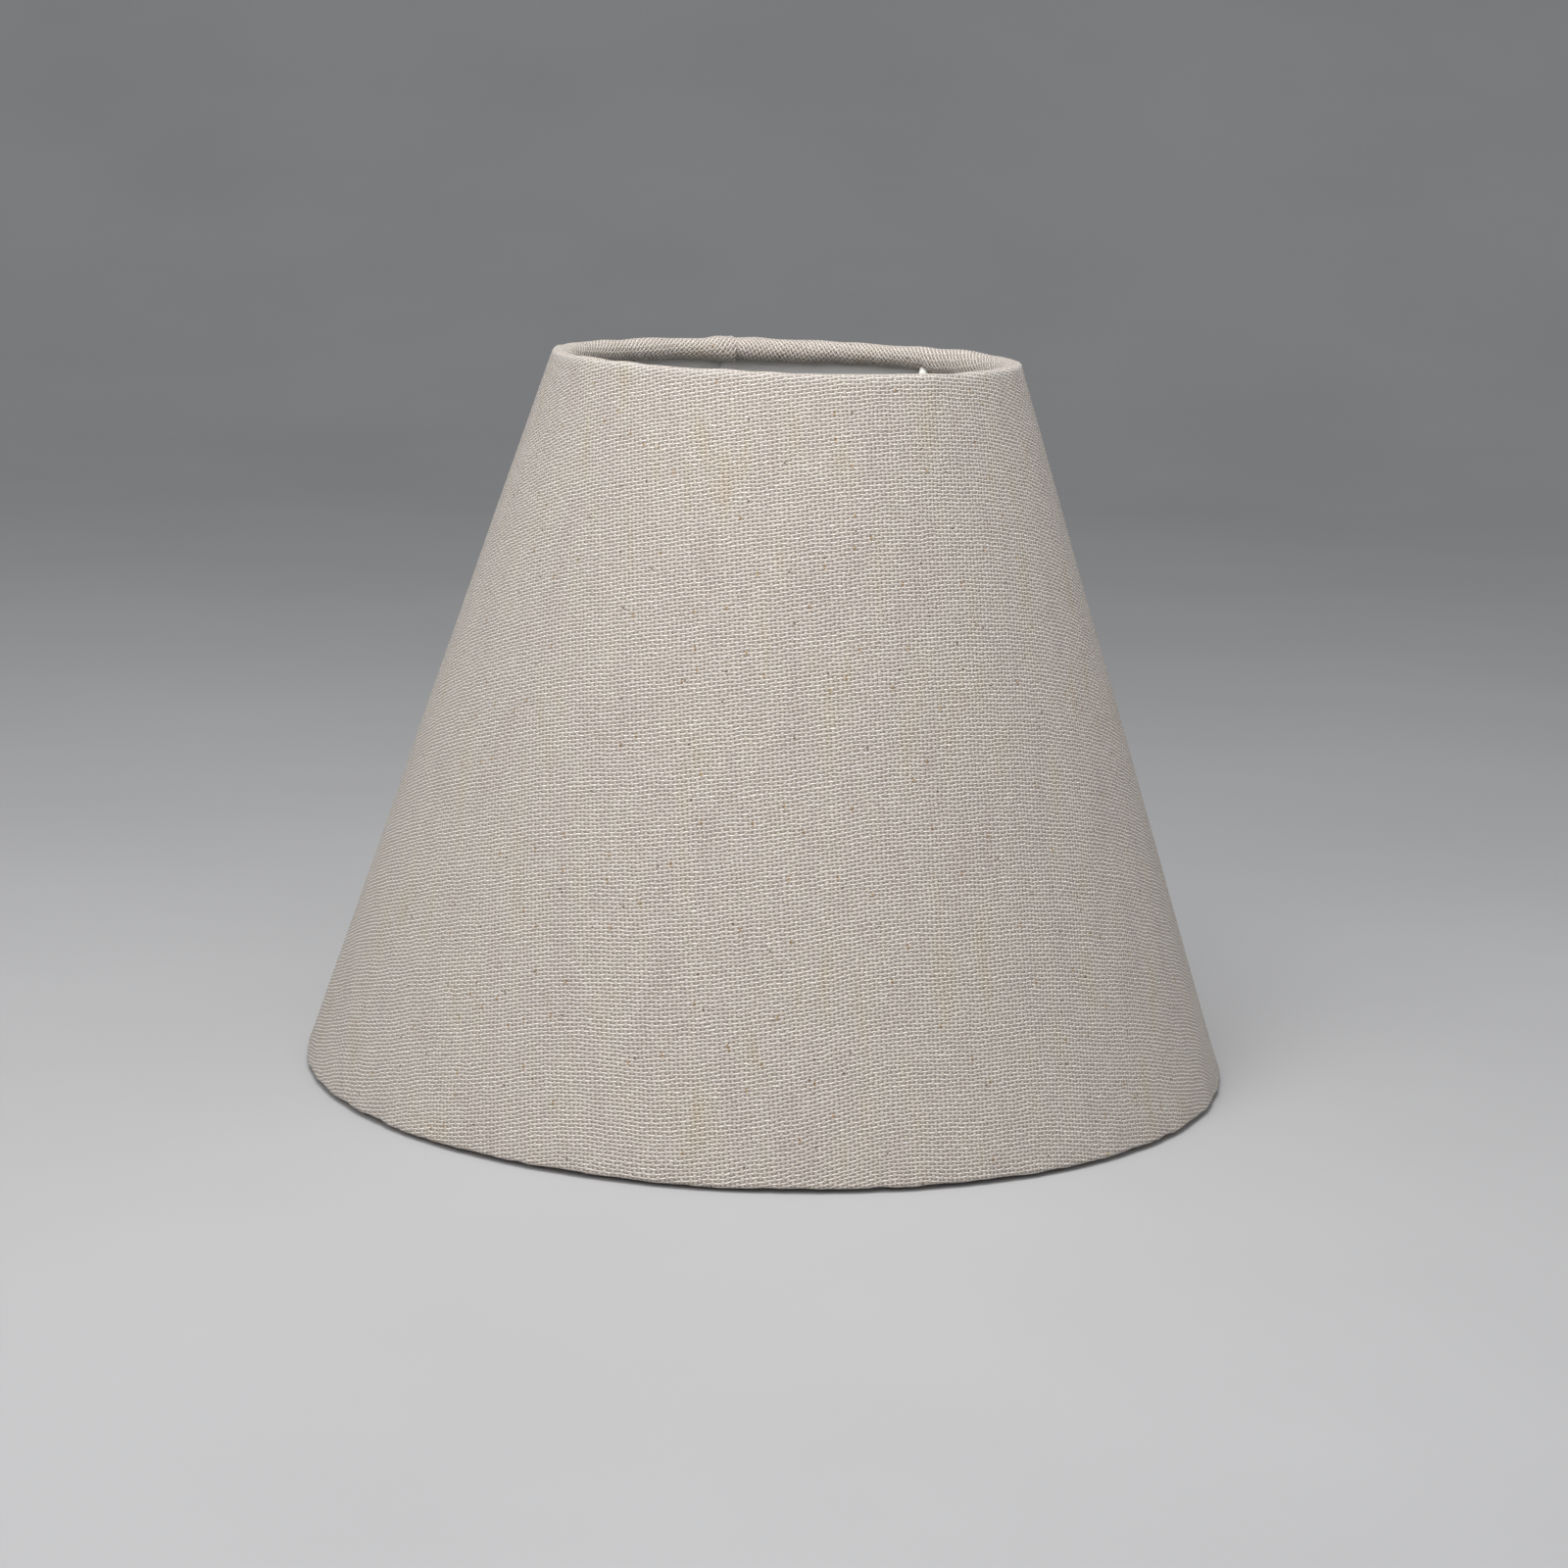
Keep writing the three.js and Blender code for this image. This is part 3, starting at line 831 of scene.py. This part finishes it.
def tinted(tree, colour):
    """Lots of yarn differ a little in hue, so the cloth drifts from a pinkish grey to a straw tint."""
    flat = add(tree, "ShaderNodeUVMap", uv_map="flat_pattern").outputs["UV"]
    per_patch = tuple(1 / (size * MM) for size in TINT_PATCH) + (0,)
    patches = add(tree, "ShaderNodeVectorMath", {0: flat, 1: per_patch}, operation="MULTIPLY")
    drift = add(tree, "ShaderNodeTexNoise", {"Vector": patches.outputs[0], "Scale": 1.0, "Detail": 5.0})
    tint = add(tree, "ShaderNodeValToRGB", {"Fac": drift.outputs["Fac"]})
    set_ramp(tint, ((0.3, "#F7F3F3"), (0.45, "#FCFAFA"), (0.58, "#FEFDFB"), (0.72, "#F9F4EA")))
    mixed = add(
        tree,
        "ShaderNodeMix",
        {"Factor": 1.0, "A": colour, "B": tint.outputs["Color"]},
        data_type="RGBA",
        blend_type="MULTIPLY",
    )
    return colour_output(mixed)


def mottled(tree, grain, colours):
    """A colour that drifts softly between a few close ones, in patches of about the grain's size."""
    place = add(tree, "ShaderNodeTexCoord").outputs["Object"]
    patches = add(tree, "ShaderNodeTexNoise", {"Vector": place, "Scale": 1 / (grain * MM), "Detail": 4.0})
    ramp = add(tree, "ShaderNodeValToRGB", {"Fac": patches.outputs["Fac"]})
    set_ramp(ramp, colours)
    return patches.outputs["Fac"], ramp.outputs["Color"]


def plastic_film():
    """White polystyrene backing film, rolled smooth: bright, with the glue behind it as faint clouds."""
    finish, tree, shader = new_finish("white_polystyrene_film", 0.5, IOR=1.59)
    clouds, colour = mottled(tree, 14.0, ((0.3, "#EBE9E6"), (0.5, "#F2F1EF"), (0.7, "#F7F6F4")))
    tree.links.new(colour, shader.inputs["Base Color"])
    relief = add(tree, "ShaderNodeBump", {"Height": clouds, "Strength": 0.25, "Distance": 0.2 * MM})
    tree.links.new(relief.outputs["Normal"], shader.inputs["Normal"])
    return finish


def white_enamel():
    """Stoved white enamel over drawn wire and pressed plate: half gloss, and slightly wavy from dipping."""
    finish, tree, shader = new_finish("stoved_white_enamel", 0.38, IOR=1.5)
    waviness, colour = mottled(tree, 3.0, ((0.3, "#DAD7CF"), (0.5, "#E7E5DE"), (0.7, "#EEECE7")))
    tree.links.new(colour, shader.inputs["Base Color"])
    relief = add(tree, "ShaderNodeBump", {"Height": waviness, "Strength": 0.35, "Distance": 0.15 * MM})
    tree.links.new(relief.outputs["Normal"], shader.inputs["Normal"])
    return finish


def adhesive_strip():
    """Clear film tape between the laps of the liner: slightly yellow, with trapped air as paler patches."""
    finish, tree, shader = new_finish("clear_seam_tape", 0.3, IOR=1.48)
    _, colour = mottled(tree, 5.0, ((0.35, "#D6D0BC"), (0.5, "#DFDAC9"), (0.65, "#E9E6DA")))
    tree.links.new(colour, shader.inputs["Base Color"])
    return finish


def pale_floor():
    """Matte painted board."""
    finish, tree, shader = new_finish("pale_board", 0.8)
    _, colour = mottled(tree, 220.0, ((0.3, "#B4B4B5"), (0.7, "#B9B9BA")))
    tree.links.new(colour, shader.inputs["Base Color"])
    return finish


# ---------------------------------------------------------------- putting it together


def dress(piece, finish, slot, *nodes):
    """Gives a finished piece its material and its body, and hides the nodes that it stands for. The slot is
    not used.
    """
    piece.data.materials.clear()
    piece.data.materials.append(finish)
    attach(piece, "root")
    if nodes:
        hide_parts(*nodes)


def paint_node(name, finish):
    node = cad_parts[name]
    node.data.materials.clear()
    node.data.materials.append(finish)


def place_camera():
    """In front of the shade, a little above its top, tipped down and with a long lens."""
    bpy.ops.object.camera_add(location=(0, -CAMERA_DISTANCE * MM, CAMERA_HEIGHT * MM))
    camera = bpy.context.object
    camera.data.lens = CAMERA_LENS
    turned = Matrix.Rotation(-CAMERA_YAW, 4, "Z") @ Matrix.Rotation(math.pi / 2 - CAMERA_TIP, 4, "X")
    camera.rotation_euler = (turned @ Matrix.Rotation(CAMERA_ROLL, 4, "Z")).to_euler()
    camera.data.clip_start = 0.05
    bpy.context.scene.camera = camera


def soft_light(name, place, size, power, colour):
    bpy.ops.object.light_add(type="AREA", location=place)
    lamp = bpy.context.object
    lamp.name = name
    lamp.data.size = size
    lamp.data.energy = power
    lamp.data.color = linear(colour)[:3]
    aim = Vector((0, 0, HEIGHT / 2 * MM)) - Vector(place)
    lamp.rotation_euler = aim.to_track_quat("-Z", "Y").to_euler()


def light_studio():
    for name, place, size, power, colour in SOFT_LIGHTS:
        soft_light(name, place, size, power, colour)
    world = bpy.data.worlds.new("studio")
    bpy.context.scene.world = world
    world.use_nodes = True
    background = world.node_tree.nodes["Background"]
    background.inputs["Color"].default_value = linear(SURROUND_COLOUR)
    background.inputs["Strength"].default_value = SURROUND_STRENGTH
    bpy.context.scene.view_settings.view_transform = "Standard"


def lay_floor():
    """A pale board that sweeps up behind the shade."""
    nothing_selected()
    bpy.ops.mesh.primitive_plane_add(size=FLOOR_SIZE, location=(0, FLOOR_FORWARD, FLOOR_HEIGHT * MM))
    bpy.ops.object.transform_apply(location=True, rotation=True, scale=True)
    floor = bpy.context.object
    floor.name = "floor"
    bpy.ops.object.mode_set(mode="EDIT")
    select_edges(floor, lambda a, b: min(a.y, b.y) > FLOOR_BACK_EDGE)
    bpy.ops.mesh.extrude_region_move(TRANSFORM_OT_translate={"value": (0, 0, SWEEP_HEIGHT)})
    select_edges(floor, lambda a, b: min(a.y, b.y) > FLOOR_BACK_EDGE and max(a.z, b.z) < 1)
    bpy.ops.mesh.bevel(offset=SWEEP_RADIUS, segments=SWEEP_FACES)
    bpy.ops.object.mode_set(mode="OBJECT")
    bpy.ops.object.shade_smooth()
    floor.data.materials.append(pale_floor())


def main():
    cotton = woven_cotton()
    film = plastic_film()
    enamel = white_enamel()
    cover = build_cover()
    dress(cover, cotton, "cloth", "fabric_cover")
    dress(build_liner(), film, "liner", "plastic_liner")
    dress(build_fitter(), enamel, "enamelled_wire", "fitter_ring")
    for side, arm in build_arms().items():
        dress(arm, enamel, "enamelled_wire", f"spider_arm_{side}")
    paint_node("top_wire_ring", enamel)
    paint_node("bottom_wire_ring", enamel)
    paint_node("seam_tape", adhesive_strip())
    lay_floor()
    light_studio()
    place_camera()


main()
